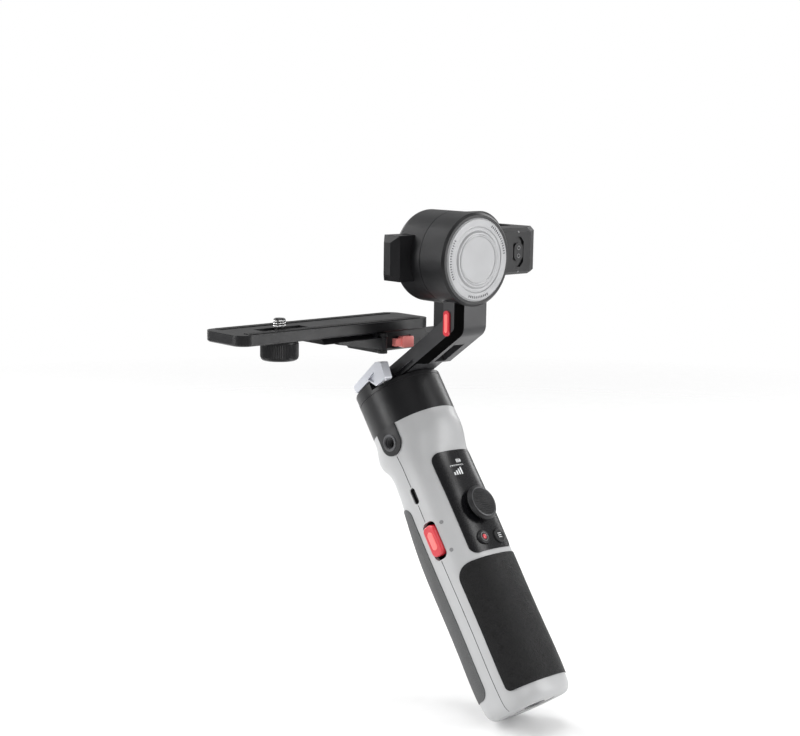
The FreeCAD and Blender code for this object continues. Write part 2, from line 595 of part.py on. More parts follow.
def build_pan_arm():
    arm = new_body("pan_arm", PAN)
    top_height = "(roll_height - roll_radius + 3)"
    low_back = "((bar_drop - neck_back * sin(lean * 1 deg)) / cos(lean * 1 deg))"
    low_front = "((bar_high - neck_front * sin(lean * 1 deg)) / cos(lean * 1 deg))"
    outline = [("bar_front", "bar_low"), ("bar_front", "bar_high"),
               (world_y("neck_front", low_front), "bar_high"),
               (world_y("neck_front", top_height), world_z("neck_front", top_height)),
               (world_y("neck_back", top_height), world_z("neck_back", top_height)),
               (world_y("neck_back", low_back), "bar_drop"),
               ("-36", "bar_drop"), ("-31", "bar_low")]
    prism(arm, "YZ_Plane", "-bar_half", "2 * bar_half", [outline])
    bar_high = DIM["bar_high"]
    low_z = (DIM["bar_drop"] - DIM["neck_back"] * math.sin(math.radians(DIM["lean"]))) \
        / math.cos(math.radians(DIM["lean"]))
    elbow = V(0, DIM["neck_back"], low_z)
    elbow = LEAN.inverted().multVec(elbow)
    dress(arm, "Fillet", "7", lambda e: straight(e, X_AXIS) and (middle(e) - elbow).Length < 0.5)
    dress(arm, "Fillet", "4",
          lambda e: straight(e, X_AXIS) and abs(middle(e).z - bar_high) < 1e-3 and middle(e).y < -20)
    dress(arm, "Chamfer", "3.7",
          lambda e: abs(middle(e).x + DIM["bar_half"]) < 1e-3 and middle(e).y < -33 and back_side(e))
    dress(arm, "Chamfer", "1.2",
          lambda e: abs(middle(e).x - DIM["bar_half"]) < 1e-3 and middle(e).y < -33 and back_side(e))
    # The neck ends in a hollow seat that fits the roll motor's can.
    seat = sketch_on(arm, "XZ_Plane", None)
    before = arm.Shape.Volume
    start = LEAN.inverted().multVec(V(0, DIM["neck_front"] + 4, DIM["roll_height"]))
    seat.AttachmentOffset = Placement(V(0, start.z, -start.y), Rotation(X_AXIS, DIM["lean"]))
    draw_circle(seat, "0", "0", "roll_radius")
    hollow = arm.newObject("PartDesign::Pocket", "neck_seat")
    hollow.Profile = seat
    hollow.Reversed = True
    hollow.Length = 30
    doc.recompute()
    if not arm.Shape.Volume < before - 1:
        raise RuntimeError("the neck's seat removes nothing")
    # Side grooves ride on the saddle's rails, and a long slot lightens the underside.
    for side in ("-", ""):
        start = "-bar_half - 1" if side else "bar_half - 1.2"
        prism(arm, "YZ_Plane", start, "2.2",
              [rectangle("-30", "seam_height + pan_length + 2.45", "bar_front + 1",
                         "seam_height + pan_length + 4.15")], cut=True)
    prism(arm, "XY_Plane", "bar_drop - 1", "5",
          [rectangle("-4", "-56", "4", "-37.5")], cut=True)
    lock_slot = rectangle("lock_ahead - 1.1", "lock_height - 5", "lock_ahead + 1.1", "lock_height + 3.5")
    corners = [(world_y(y, z), world_z(y, z)) for y, z in lock_slot]
    prism(arm, "YZ_Plane", "-bar_half", "2.4", [corners], cut=True)
    return arm


def back_side(edge):
    """True where an edge of the arm lies on its underside or on the neck's rear."""
    point = LEAN.multVec(middle(edge))
    below = middle(edge).z < DIM["bar_drop"] + 0.4
    behind = point.y < DIM["neck_back"] + 2.1
    return (below or behind) and not straight(edge, X_AXIS)


def build_roll_lock():
    knob = new_body("roll_lock_slider", WORLD)
    prism(knob, "YZ_Plane", "-bar_half - 1.1", "1.0",
          [rectangle("lock_ahead - 2.1", "lock_height - 6.7", "lock_ahead + 2.1", "lock_height + 6.7")])
    dress(knob, "Fillet", "2.05", lambda e: straight(e, X_AXIS))
    prism(knob, "YZ_Plane", "-bar_half - 0.1", "2",
          [rectangle("lock_ahead - 0.9", "lock_height - 1.6", "lock_ahead + 0.9", "lock_height + 3.2")])


# ---------------------------------------------------------------- roll axis

def build_roll(housing, rotor):
    dress(housing, "Chamfer", "1.2", lambda e: round_edge(e, DIM["roll_radius"], 0))
    dress(rotor, "Fillet", "3", lambda e: round_edge(e, DIM["roll_radius"], DIM["roll_length"]))
    gap = "slide_clearance"
    # The arm passes through the drum in X; the drum's own y axis points down.
    half = f"((arm_high - arm_low) / 2 + {gap})"
    prism(rotor, "XY_Plane", f"arm_back - roll_back - {gap}", f"arm_front - arm_back + 2 * {gap}",
          [rectangle("-40", f"-{half}", "40", half)], cut=True)

    cap = new_body("roll_cap", ROLL_MOTOR)
    turn(cap, [[("0", "-1.0"), ("14.2", "-1.0"), ("15.2", "-0.3"), ("16.8", "-0.3"), ("17.3", "-0.7"),
                ("20.9", "-0.7"), ("21.7", "0"), ("0", "0")]])
    return cap


def build_roll_arm():
    arm = new_body("roll_arm", WORLD)
    # The elbow reaches forward to carry the tilt motor on its inner side.
    prism(arm, "XY_Plane", "arm_low - 0.6", "arm_high - arm_low + 1.8",
          [[("elbow_start", "elbow_back"), ("elbow_end - 7", "elbow_back"),
            ("elbow_end + 3", "elbow_back + 7"), ("elbow_end + 3", "tilt_ahead + 16"),
            ("elbow_end + 1", "tilt_ahead + 18"),
            ("tilt_side + 0.2", "tilt_ahead + 18"), ("tilt_side + 0.2", "elbow_front + 3"),
            ("elbow_end - 7", "elbow_front"), ("elbow_start", "elbow_front")]])
    top, bottom = DIM["arm_high"] + 1.2, DIM["arm_low"] - 0.6
    dress(arm, "Chamfer", "2.2",
          lambda e: abs(middle(e).z - top) < 1e-3 and middle(e).y < DIM["elbow_back"] + 10)
    dress(arm, "Chamfer", "1.6",
          lambda e: abs(middle(e).z - bottom) < 1e-3 and middle(e).y < DIM["elbow_back"] + 10)
    prism(arm, "YZ_Plane", "-tail_end", "tail_end + elbow_start + 4",
          [rectangle("arm_back", "arm_low", "arm_front", "arm_high")])
    dress(arm, "Chamfer", "3.6", lambda e: abs(middle(e).x + DIM["tail_end"]) < 1e-3)
    prism(arm, "XZ_Plane", "-elbow_back - 1.2", "1.3",
          [[("52.2", "roll_height - 5.6"), ("54.6", "roll_height - 8.4"), ("58", "roll_height - 8.4"),
            ("60.4", "roll_height - 5.6"), ("60.4", "roll_height + 5.6"), ("58", "roll_height + 8.4"),
            ("54.6", "roll_height + 8.4"), ("52.2", "roll_height + 5.6")]], cut=True)
    prism(arm, "XZ_Plane", "-elbow_back - 4", "3",
          [rectangle("55.2", "roll_height - 4.5", "57.4", "roll_height + 4.5")], cut=True)

    slider = new_body("tilt_lock_slider", WORLD)
    prism(slider, "XZ_Plane", "-elbow_back - 1.05", "1.3",
          [rectangle("52.9", "roll_height - 4.9", "59.7", "roll_height + 4.9")])
    dress(slider, "Fillet", "2.9", lambda e: straight(e, Y_AXIS))
    prism(slider, "XZ_Plane", "-elbow_back - 3.4", "2.4",
          [rectangle("55.4", "roll_height - 1.4", "57.2", "roll_height + 1.4")])
    return arm


# ---------------------------------------------------------------- tilt axis, clamp and camera plate

def build_tilt_arm():
    arm = new_body("tilt_arm", WORLD)
    half = "9.5"
    prism(arm, "YZ_Plane", "arm_inner", "arm_outer - arm_inner",
          [rectangle(f"tilt_ahead - {half}", "foot_low", f"tilt_ahead + {half}", "roll_height + 6")])
    prism(arm, "YZ_Plane", "arm_inner", "arm_outer - arm_inner", [("tilt_ahead", "roll_height", "14")])
    prism(arm, "XZ_Plane", f"-tilt_ahead - {half}", f"2 * {half}",
          [rectangle("clamp_right + 0.1", "foot_low", "arm_outer", "foot_high")])

    clamp = new_body("clamp_base", WORLD)
    prism(clamp, "YZ_Plane", "-clamp_left", "clamp_left + clamp_right",
          [[("clamp_back", "plate_low - 0.2"), ("clamp_back", "clamp_low + 2"),
            ("clamp_back + 3", "clamp_low"), ("clamp_front - 3", "clamp_low"),
            ("clamp_front", "clamp_low + 2"), ("clamp_front", "plate_low - 0.2"),
            ("screw_ahead + 7.1", "plate_low - 0.2"), ("screw_ahead + 9.8", "tongue_low - 0.2"),
            ("screw_ahead - 9.8", "tongue_low - 0.2"), ("screw_ahead - 7.1", "plate_low - 0.2")]])
    prism(clamp, "XY_Plane", "clamp_low + 1.3", "6.8",
          [rectangle("-12.6", "clamp_back - 1", "0.8", "clamp_back + 2")], cut=True)

    # Two ears on the rear left corner hold the lever's barrel between them.
    hinge = ("-hinge_left", "hinge_back")
    for low in ("clamp_low", "plate_low - 1.9"):
        prism(clamp, "XY_Plane", low, "1.6", [(*hinge, "2.6")])
        prism(clamp, "XY_Plane", low, "1.6",
              [rectangle("-hinge_left - 2", "hinge_back", "-hinge_left + 2.6", "clamp_back + 4")])

    button = new_body("safety_button", WORLD)
    prism(button, "XZ_Plane", "-clamp_back - 0.8", "3.9",
          [rectangle("-7.8", "clamp_low + 1.7", "0.4", "clamp_low + 7.7")])
    dress(button, "Fillet", "1", lambda e: straight(e, Y_AXIS))
    prism(button, "XZ_Plane", "-clamp_back - 0.8", "3",
          [rectangle("-12.1", "clamp_low + 2.7", "-7.2", "clamp_low + 6.7")])

    pin = new_body("clamp_pin", WORLD)
    prism(pin, "XY_Plane", "clamp_low - 0.2", "plate_low - clamp_low - 0.1", [(*hinge, "1.1")])
    lever = new_body("clamp_lever", WORLD)
    prism(lever, "XY_Plane", "clamp_low + 1.9", "plate_low - clamp_low - 4.1", [(*hinge, "2.4")])
    prism(lever, "XZ_Plane", "-hinge_back - 1.7", "3.4",
          [[("-hinge_left", "clamp_low + 1.9"), ("-hinge_left", "plate_low - 2.2"),
            ("-54", "plate_low - 2.2"), ("-54", "plate_low - 3.4")]])
    prism(lever, "XY_Plane", "clamp_low", "plate_low - clamp_low", [(*hinge, "1.15")], cut=True)
    for hole in ("clamp_low - 1", "plate_low - 2.5"):
        prism(clamp, "XY_Plane", hole, "3", [(*hinge, "1.1")], cut=True)


def build_plate():
    plate = new_body("camera_plate", WORLD)
    prism(plate, "XY_Plane", "plate_low", "plate_high - plate_low",
          [rectangle("-plate_left", "plate_back", "plate_right", "plate_front")])
    dress(plate, "Fillet", "7", lambda e: straight(e, Z_AXIS))
    dress(plate, "Chamfer", "0.7", lambda e: abs(middle(e).z - DIM["plate_low"]) < 1e-3)
    prism(plate, "YZ_Plane", "-58", "58 + plate_right - 3",
          [[("screw_ahead - 6.6", "plate_low + 0.2"), ("screw_ahead - 9.3", "tongue_low"),
            ("screw_ahead + 9.3", "tongue_low"), ("screw_ahead + 6.6", "plate_low + 0.2")]])
    prism(plate, "XY_Plane", "plate_low - 1", "plate_high - plate_low + 2",
          [rectangle("-screw_left - 14", "screw_ahead - 4.2", "-screw_left + 16", "screw_ahead + 4.2")],
          cut=True)
    prism(plate, "XY_Plane", "plate_low - 1", "3.2",
          [rectangle("-screw_left - 16", "screw_ahead - 6.2", "-screw_left + 18", "screw_ahead + 6.2")],
          cut=True)
    for low, high in (("plate_back + 1.6", "plate_back + 7"), ("plate_front - 7", "plate_front - 1.6")):
        prism(plate, "XY_Plane", "plate_high - 0.5", "1",
              [rectangle("-plate_left + 7", low, "plate_right - 7", high)], cut=True)
    pads = new_body("plate_pads", WORLD)
    prism(pads, "XY_Plane", "plate_high - 0.5", "0.8",
          [rectangle("-plate_left + 7.1", low, "plate_right - 7.1", high)
           for low, high in (("plate_back + 1.7", "plate_back + 6.9"),
                             ("plate_front - 6.9", "plate_front - 1.7"))])

    # The screw's narrow neck turns in the collar, and its thread is too wide to drop out of it.
    collar = new_body("screw_collar", WORLD)
    prism(collar, "XY_Plane", "plate_low + 0.3", "1.7",
          [rectangle("-screw_left - 6.5", "screw_ahead - 6", "-screw_left + 6.5", "screw_ahead + 6"),
           ("-screw_left", "screw_ahead", "screw_neck + 0.15")])
    screw = new_body("camera_screw", Placement(V(-DIM["screw_left"], DIM["screw_ahead"], 0), Rotation()))
    knob_low = "(plate_low - knob_height - 0.2)"
    turn(screw, [[("0", f"{knob_low} + 1"), ("6.4", f"{knob_low} + 1"), ("7", knob_low),
                  ("knob_radius - 0.8", knob_low), ("knob_radius", f"{knob_low} + 0.8"),
                  ("knob_radius", "plate_low - 0.9"), ("knob_radius - 0.7", "plate_low - 0.2"),
                  ("screw_neck", "plate_low - 0.2"),
                  ("screw_neck", "plate_high + 0.4"), ("screw_radius", "plate_high + 0.4"),
                  ("screw_radius", "plate_high + 4.8"),
                  ("screw_radius - 0.5", "plate_high + 5.3"), ("0", "plate_high + 5.3")]])


# ---------------------------------------------------------------- build, check and write

motor("pan", PAN_MOTOR, PAN_MOTOR_TOP)
roll_housing, roll_rotor = motor("roll", ROLL_MOTOR, ROLL_MOTOR)
motor("tilt", TILT_MOTOR, TILT_MOTOR)
face = build_handle()
build_inserts(face)
build_power()
build_screws()
build_controls()
build_saddle()
build_pan_arm()
build_roll_lock()
build_roll(roll_housing, roll_rotor)
build_roll_arm()
build_tilt_arm()
build_plate()
doc.recompute()

for item in doc.Objects:
    if "Invalid" in item.State or "Error" in item.State:
        raise RuntimeError(f"{item.Label} did not build")
os.makedirs("parts", exist_ok=True)
for item in PARTS:
    if item.Shape.isNull() or not item.Shape.isValid():
        raise RuntimeError(f"{item.Label} has no valid shape")
for item in PARTS:
    item.Shape.exportStep(os.path.join("parts", item.Label + ".step"))
    box = item.Shape.BoundBox
    print(f"{item.Label:20s} {len(item.Shape.Solids):3d} solids {item.Shape.Volume:10.1f} mm3 "
          f"{box.XMin:7.1f} {box.XMax:7.1f} {box.YMin:7.1f} {box.YMax:7.1f} {box.ZMin:7.1f} {box.ZMax:7.1f}")
print(len(PARTS), "parts")
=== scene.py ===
import math
import bmesh
import bpy
from mathutils import Matrix, Vector
from mathutils.bvhtree import BVHTree


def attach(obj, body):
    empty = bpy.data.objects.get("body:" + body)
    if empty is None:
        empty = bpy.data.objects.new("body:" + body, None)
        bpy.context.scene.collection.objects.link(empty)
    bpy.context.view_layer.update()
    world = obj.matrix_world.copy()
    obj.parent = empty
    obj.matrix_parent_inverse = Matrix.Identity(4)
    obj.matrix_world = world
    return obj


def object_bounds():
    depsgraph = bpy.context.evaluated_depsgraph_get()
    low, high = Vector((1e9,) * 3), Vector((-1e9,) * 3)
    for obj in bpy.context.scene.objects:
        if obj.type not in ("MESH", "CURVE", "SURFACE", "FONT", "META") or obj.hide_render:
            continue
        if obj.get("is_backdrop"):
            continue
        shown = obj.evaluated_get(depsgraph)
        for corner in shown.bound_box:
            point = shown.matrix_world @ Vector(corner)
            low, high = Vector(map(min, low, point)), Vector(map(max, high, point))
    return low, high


# Looks of a handheld three-axis camera gimbal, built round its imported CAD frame.
# Sizes below are in millimetres and turn into metres where a mesh is made.

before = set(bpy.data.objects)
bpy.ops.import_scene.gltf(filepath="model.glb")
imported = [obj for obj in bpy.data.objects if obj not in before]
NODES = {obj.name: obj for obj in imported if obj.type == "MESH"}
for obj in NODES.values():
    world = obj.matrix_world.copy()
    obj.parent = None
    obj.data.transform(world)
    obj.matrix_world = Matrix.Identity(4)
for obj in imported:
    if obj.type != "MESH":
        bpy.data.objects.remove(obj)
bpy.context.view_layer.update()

MM = 0.001
LEAN, TWIST = math.radians(35.7), math.radians(5.9)
HANDLE = Matrix.Rotation(-LEAN, 4, "X") @ Matrix.Rotation(TWIST, 4, "Z")
WORLD = Matrix.Identity(4)
ROLL = Matrix.Translation((0, 49.5 * MM, 227.3 * MM)) @ Matrix.Rotation(math.radians(-90), 4, "X")
STICK = HANDLE @ Matrix.Translation((0, -11 * MM, 105.9 * MM)) @ Matrix.Rotation(math.radians(90), 4, "X")


# ---------------------------------------------------------------- materials

class Graph:
    """A short way to build a node tree: every call adds one node and links its inputs."""

    def __init__(self, material):
        material.use_nodes = True
        self.tree = material.node_tree
        self.tree.nodes.clear()
        self.out = self.tree.nodes.new("ShaderNodeOutputMaterial")
        self.shader = self.tree.nodes.new("ShaderNodeBsdfPrincipled")
        self.tree.links.new(self.shader.outputs["BSDF"], self.out.inputs["Surface"])
        self.place = self.tree.nodes.new("ShaderNodeTexCoord").outputs["Object"]

    def set(self, node, key, value):
        if isinstance(value, bpy.types.NodeSocket):
            self.tree.links.new(value, node.inputs[key])
        else:
            node.inputs[key].default_value = value

    def node(self, kind, inputs, **settings):
        node = self.tree.nodes.new(kind)
        for key, value in settings.items():
            setattr(node, key, value)
        for key, value in inputs.items():
            self.set(node, key, value)
        return node

    def noise(self, scale, detail=3.0, rough=0.5):
        return self.node("ShaderNodeTexNoise", {"Vector": self.place, "Scale": scale,
                                                "Detail": detail, "Roughness": rough}).outputs["Fac"]

    def cells(self, scale, feature, vector):
        return self.node("ShaderNodeTexVoronoi", {"Vector": vector, "Scale": scale},
                         feature=feature).outputs["Distance"]

    def ramp(self, value, low, high, out_low=0.0, out_high=1.0):
        return self.node("ShaderNodeMapRange", {"Value": value, "From Min": low, "From Max": high,
                                                "To Min": out_low, "To Max": out_high}).outputs["Result"]

    def mix(self, factor, a, b):
        node = self.node("ShaderNodeMix", {}, data_type="RGBA")
        self.set(node, 0, factor)
        for key, value in ((6, a), (7, b)):
            self.set(node, key, value if isinstance(value, bpy.types.NodeSocket) else (*value, 1))
        return node.outputs[2]

    def math(self, operation, a, b):
        return self.node("ShaderNodeMath", {0: a, 1: b}, operation=operation).outputs[0]

    def bump(self, height, depth, strength=1.0, below=None):
        inputs = {"Height": height, "Distance": depth, "Strength": strength}
        if below is not None:
            inputs["Normal"] = below
        return self.node("ShaderNodeBump", inputs).outputs["Normal"]


def shade(color, amount):
    return tuple(min(1.0, c * amount) for c in color)


MATERIALS = {}


def surface(name, color, rough, spread=0.05, metal=0.0, grain=2600, grain_depth=0.00002,
            tint=0.06, coat=0.0, specular=0.5, extra=None):
    """A moulded or machined finish: fine grain in the relief, slow drift in colour and gloss."""
    material = bpy.data.materials.new(name)
    g = Graph(material)
    cloud = g.noise(38, 4, 0.6)
    fine = g.noise(grain, 2, 0.5)
    smear = g.noise(90, 5, 0.65)
    drift = g.ramp(cloud, 0.3, 0.7)
    g.set(g.shader, "Base Color", g.mix(drift, shade(color, 1 - tint), shade(color, 1 + tint)))
    fleck = g.math("ADD", g.ramp(smear, 0.3, 0.7, -spread, spread), g.ramp(fine, 0.3, 0.7, -0.02, 0.02))
    g.set(g.shader, "Roughness", g.math("ADD", fleck, rough))
    g.shader.inputs["Metallic"].default_value = metal
    g.shader.inputs["Coat Weight"].default_value = coat
    g.shader.inputs["Coat Roughness"].default_value = 0.08
    g.shader.inputs["Specular IOR Level"].default_value = specular
    normal = g.bump(fine, grain_depth, 0.6)
    if extra:
        normal = extra(g, normal, color) or normal
    g.set(g.shader, "Normal", normal)
    MATERIALS[name] = material


def leather(cell, depth, darker):
    """Pebbled grain: cell walls sink in and are painted a duller, darker colour, as painted shade in the
    creases.
    """
    def add(g, normal, color):
        warp = g.node("ShaderNodeVectorMath", {0: g.place, 1: (0, 0, 0)}, operation="ADD")
        wobble = g.node("ShaderNodeTexNoise", {"Vector": g.place, "Scale": cell * 0.45, "Detail": 2.0})
        small = g.node("ShaderNodeVectorMath", {0: wobble.outputs["Color"], "Scale": 0.35 / cell},
                       operation="SCALE").outputs[0]
        g.tree.links.new(small, warp.inputs[1])
        walls = g.cells(cell, "DISTANCE_TO_EDGE", warp.outputs[0])
        pebble = g.ramp(walls, 0.0, 0.22)
        # Painted shade: the sunk cell walls get the darker colour.
        g.set(g.shader, "Base Color", g.mix(pebble, shade(color, darker), shade(color, 1.15)))
        return g.bump(pebble, depth, 0.9, normal)
    return add


def chamfer_painted_shade(g, normal, color):
    """Painted shade: the wide chamfers on the arm's left side are painted blacker and duller than its
    flats.
    """
    facing = g.tree.nodes.new("ShaderNodeTexCoord").outputs["Normal"]
    side = g.node("ShaderNodeSeparateXYZ", {0: facing}).outputs["X"]
    off = g.math("ABSOLUTE", g.math("ADD", side, 0.707), 0.0)
    flat = g.ramp(off, 0.03, 0.08)
    fine = g.noise(70, 3)
    # Painted shade: the near-black colour laid on the chamfers.
    dark = g.mix(g.ramp(fine, 0.3, 0.7), (0.003, 0.003, 0.003), (0.005, 0.005, 0.005))
    body = g.mix(g.ramp(fine, 0.3, 0.7), shade(color, 0.92), shade(color, 1.08))
    g.set(g.shader, "Base Color", g.mix(flat, dark, body))
    g.set(g.shader, "Specular IOR Level", g.math("MULTIPLY", flat, 0.35))
    return normal


def machined(pitch, depth, axis):
    """Concentric or straight tool marks, as fine waves along one axis."""
    def add(g, normal, color):
        wave = g.node("ShaderNodeTexWave", {"Vector": g.place, "Scale": pitch, "Distortion": 0.6,
                                            "Detail": 2.0}, bands_direction=axis)
        return g.bump(wave.outputs["Fac"], depth, 0.5, normal)
    return add


def spun(frame_matrix, pitch, depth):
    """Rings turned about the Z axis of a frame, like the face of a lathe-cut cap."""
    def add(g, normal, color):
        move = frame_matrix.inverted()
        rotation, place = move.to_euler(), move.to_translation()
        local = g.node("ShaderNodeMapping", {"Vector": g.place, "Rotation": rotation,
                                             "Location": place}).outputs["Vector"]
        wave = g.node("ShaderNodeTexWave", {"Vector": local, "Scale": pitch, "Distortion": 0.3,
                                            "Detail": 1.0}, wave_type="RINGS", rings_direction="Z")
        return g.bump(wave.outputs["Fac"], depth, 0.35, normal)
    return add


surface("shell_grey", (0.41, 0.413, 0.418), 0.38, grain=1900, grain_depth=0.00003, tint=0.03)
surface("pad_black", (0.005, 0.005, 0.0055), 0.44, tint=0.1, specular=0.2,
        extra=leather(1050, 0.00014, 0.45))
surface("pad_grey", (0.062, 0.063, 0.064), 0.62, grain=3000, grain_depth=0.00006, tint=0.05,
        extra=leather(1500, 0.00007, 0.8))
surface("panel_gloss", (0.006, 0.006, 0.007), 0.27, spread=0.03, grain_depth=0.000003, specular=0.28)
surface("plastic_black", (0.012, 0.012, 0.013), 0.40, tint=0.12, specular=0.3)
surface("plastic_red", (0.55, 0.022, 0.035), 0.33, spread=0.04, tint=0.05, coat=0.25)
# Pale red for the inlays; on the roll lock it is a painted highlight.
surface("red_pale", (0.95, 0.17, 0.16), 0.35, spread=0.04, tint=0.04, coat=0.25)
surface("metal_black", (0.010, 0.010, 0.011), 0.35, spread=0.06, grain=3200, specular=0.3,
        grain_depth=0.000022, tint=0.1)
# The arm's chamfers are painted darker and duller, as painted shade.
surface("metal_arm", (0.032, 0.032, 0.034), 0.38, spread=0.05, grain=3200, specular=0.35,
        grain_depth=0.000022, extra=chamfer_painted_shade)
surface("metal_edge", (0.075, 0.076, 0.08), 0.34, spread=0.05, metal=0.35, grain=3200,
        grain_depth=0.00002, tint=0.08)
surface("metal_silver", (0.325, 0.327, 0.334), 0.38, spread=0.05, metal=0.2, tint=0.04,
        extra=spun(ROLL, 2600, 0.000006))
# Painted light: a brighter copy of the red, lit up for the safety button that sits in shade under the
# plate.
surface("red_lit_copy", (1.0, 0.3, 0.28), 0.33, spread=0.04, tint=0.03, coat=0.25)
surface("lever_silver", (0.58, 0.595, 0.64), 0.34, spread=0.04, metal=0.2, tint=0.03)
surface("steel_turned", (0.5, 0.5, 0.5), 0.27, metal=0.95, extra=machined(1700, 0.00001, "Z"))
surface("magnet_plated", (0.55, 0.55, 0.57), 0.22, metal=0.9)
surface("copper_wire", (0.7, 0.3, 0.14), 0.3, metal=0.8, extra=machined(1200, 0.00005, "Z"))
surface("board_green", (0.015, 0.09, 0.045), 0.38, coat=0.3, extra=machined(500, 0.00002, "X"))
surface("cell_wrap", (0.05, 0.16, 0.34), 0.3, coat=0.3)
surface("mark_white", (0.82, 0.83, 0.84), 0.5, tint=0.03)
surface("mark_grey", (0.2, 0.2, 0.205), 0.55, tint=0.05)
surface("mark_dark", (0.03, 0.03, 0.032), 0.6, tint=0.08)

FINISH = {
    "shell_grey": ["front_shell", "rear_shell"],
    "pad_black": ["rear_grip_pad", "plate_pads"],
    "pad_grey": ["front_grip_pad"],
    "panel_gloss": ["control_panel", "display_module"],
    "plastic_black": ["joystick", "joystick_ring", "joystick_base", "record_button", "menu_button",
                      "side_boss", "battery_carrier", "tilt_lock_slider", "usb_port"],
    "plastic_red": ["zoom_rocker", "roll_lock_slider"],
    # Painted light: the safety button wears the brightened copy of the red.
    "red_lit_copy": ["safety_button"],
    "metal_arm": ["pan_arm"],
    "metal_black": ["pan_housing", "pan_rotor", "arm_saddle", "roll_housing", "roll_rotor",
                    "roll_arm", "tilt_housing", "tilt_rotor", "tilt_arm", "clamp_base", "clamp_lever",
                    "camera_plate", "camera_screw"],
    "metal_silver": ["roll_cap"],
    "lever_silver": ["balance_lever"],
    "metal_edge": ["accessory_insert", "tripod_insert"],
    "steel_turned": ["pan_shaft", "roll_shaft", "tilt_shaft", "pan_bearings", "roll_bearings",
                     "tilt_bearings", "lever_pin", "clamp_pin", "case_screws", "screw_collar",
                     "base_plate", "pan_stator", "roll_stator", "tilt_stator"],
    "magnet_plated": ["pan_magnets", "roll_magnets", "tilt_magnets"],
    "copper_wire": ["pan_coils", "roll_coils", "tilt_coils"],
    "board_green": ["main_board", "tact_switches"],
    "cell_wrap": ["battery_cells"],
}
for finish, names in FINISH.items():
    for name in names:
        NODES[name].data.materials.clear()
        NODES[name].data.materials.append(MATERIALS[finish])
dressed = {name for names in FINISH.values() for name in names}
bare = sorted(set(NODES) - dressed)
if bare:
    raise RuntimeError(f"nodes with no finish: {bare}")


# ---------------------------------------------------------------- mesh helpers

def piece(name, points, faces, place, body, finish, smooth=True):
    """A mesh piece from points in millimetres in a frame, riding on a CAD body."""
    mesh = bpy.data.meshes.new(name)
    mesh.from_pydata([place @ (Vector(p) * MM) for p in points], [], faces)
    tidy = bmesh.new()
    tidy.from_mesh(mesh)
    bmesh.ops.recalc_face_normals(tidy, faces=tidy.faces)
    tidy.to_mesh(mesh)
    tidy.free()
    mesh.materials.append(MATERIALS[finish])
    if smooth:
        mesh.shade_smooth()
        mesh.set_sharp_from_angle(angle=math.radians(32))
    obj = bpy.data.objects.new(name, mesh)
    bpy.context.scene.collection.objects.link(obj)
    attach(obj, body)
    return obj


class Shape:
    """Points and faces gathered from simple runs."""

    def __init__(self):
        self.points, self.faces = [], []

    def grid(self, rows, close_u=False, close_v=False):
        base, wide = len(self.points), len(rows[0])
        for line in rows:
            self.points.extend(line)
        tall = len(rows)
        for i in range(tall if close_v else tall - 1):
            for j in range(wide if close_u else wide - 1):
                a, b = i * wide + j, i * wide + (j + 1) % wide
                c, d = ((i + 1) % tall) * wide + (j + 1) % wide, ((i + 1) % tall) * wide + j
                self.faces.append((base + a, base + b, base + c, base + d))
        return self

    def lathe(self, profile, segments, wobble=None):
        """A closed (radius, height) profile turned about Z; wobble changes a point's radius."""
        rows = []
        for radius, height in profile:
            line = []
            for i in range(segments):
                angle = 2 * math.pi * i / segments
                r = radius + (wobble(i, radius, height) if wobble else 0)
                line.append((r * math.cos(angle), r * math.sin(angle), height))
            rows.append(line)
        return self.grid(rows, close_u=True, close_v=True)


THREAD_PITCH = 1.27


def helix(root, crest, low, high, width, segments=48):
    """A thread ridge of triangular section from root to crest radius, at the quarter-inch pitch."""
    turns = (high - low) / THREAD_PITCH
    rows = []
    for i in range(int(turns * segments) + 1):
        angle, z = 2 * math.pi * i / segments, low + THREAD_PITCH * i / segments
        c, s = math.cos(angle), math.sin(angle)
        fade = min(1, i / segments * 3, (turns * segments - i) / segments * 3)
        top = root + (crest - root) * max(0.05, fade)
        rows.append([(root * c, root * s, z - width / 2), (top * c, top * s, z - width / 10),
                     (top * c, top * s, z + width / 10), (root * c, root * s, z + width / 2)])
    return Shape().grid(rows, close_u=True)


def turned(points):
    """Points turned about Z, moved so that their axis is X."""
    return [(z, x, y) for x, y, z in points]


# ---------------------------------------------------------------- marks laid on a CAD surface

def skin_of(*names):
    """The surface of one or more CAD nodes, ready for rays."""
    points, faces = [], []
    for name in names:
        mesh = NODES[name].data
        base = len(points)
        points += [v.co.copy() for v in mesh.vertices]
        faces += [tuple(base + i for i in p.vertices) for p in mesh.polygons]
    return BVHTree.FromPolygons(points, faces)


def lay(name, skin, place, corner, across, up, look, sheets, body, finish, lift=0.07):
    """Drop flat sheets of points onto a surface along look, and give them a hair of thickness.

    A point (u, v) of a sheet stands at corner + u * across + v * up, well outside the surface."""
    shape = Shape()
    look_world = (place.to_3x3() @ Vector(look)).normalized()
    inverse = place.inverted()
    for rows in sheets:
        laid = []
        for line in rows:
            dropped = []
            for u, v in line:
                start = place @ ((Vector(corner) + u * Vector(across) + v * Vector(up)) * MM)
                hit, normal, _, _ = skin.ray_cast(start - look_world * 0.03, look_world)
                if hit is None:
                    raise RuntimeError(f"{name} has a point off its surface")
                if normal.dot(look_world) > 0:
                    normal = -normal
                dropped.append(tuple((inverse @ (hit + normal * lift * MM)) / MM))
            laid.append(dropped)
        shape.grid(laid)
    obj = piece(name, shape.points, shape.faces, place, body, finish)
    solid = obj.modifiers.new("thickness", "SOLIDIFY")
    solid.thickness, solid.offset = 0.1 * MM, 0
    return obj


def bar(u0, v0, u1, v1, step=0.8):
    """A rectangle as rows of points."""
    across = max(2, int(abs(u1 - u0) / step) + 2)
    up = max(2, int(abs(v1 - v0) / step) + 2)
    return [[(u0 + (u1 - u0) * i / (across - 1), v0 + (v1 - v0) * j / (up - 1)) for i in range(across)]
            for j in range(up)]


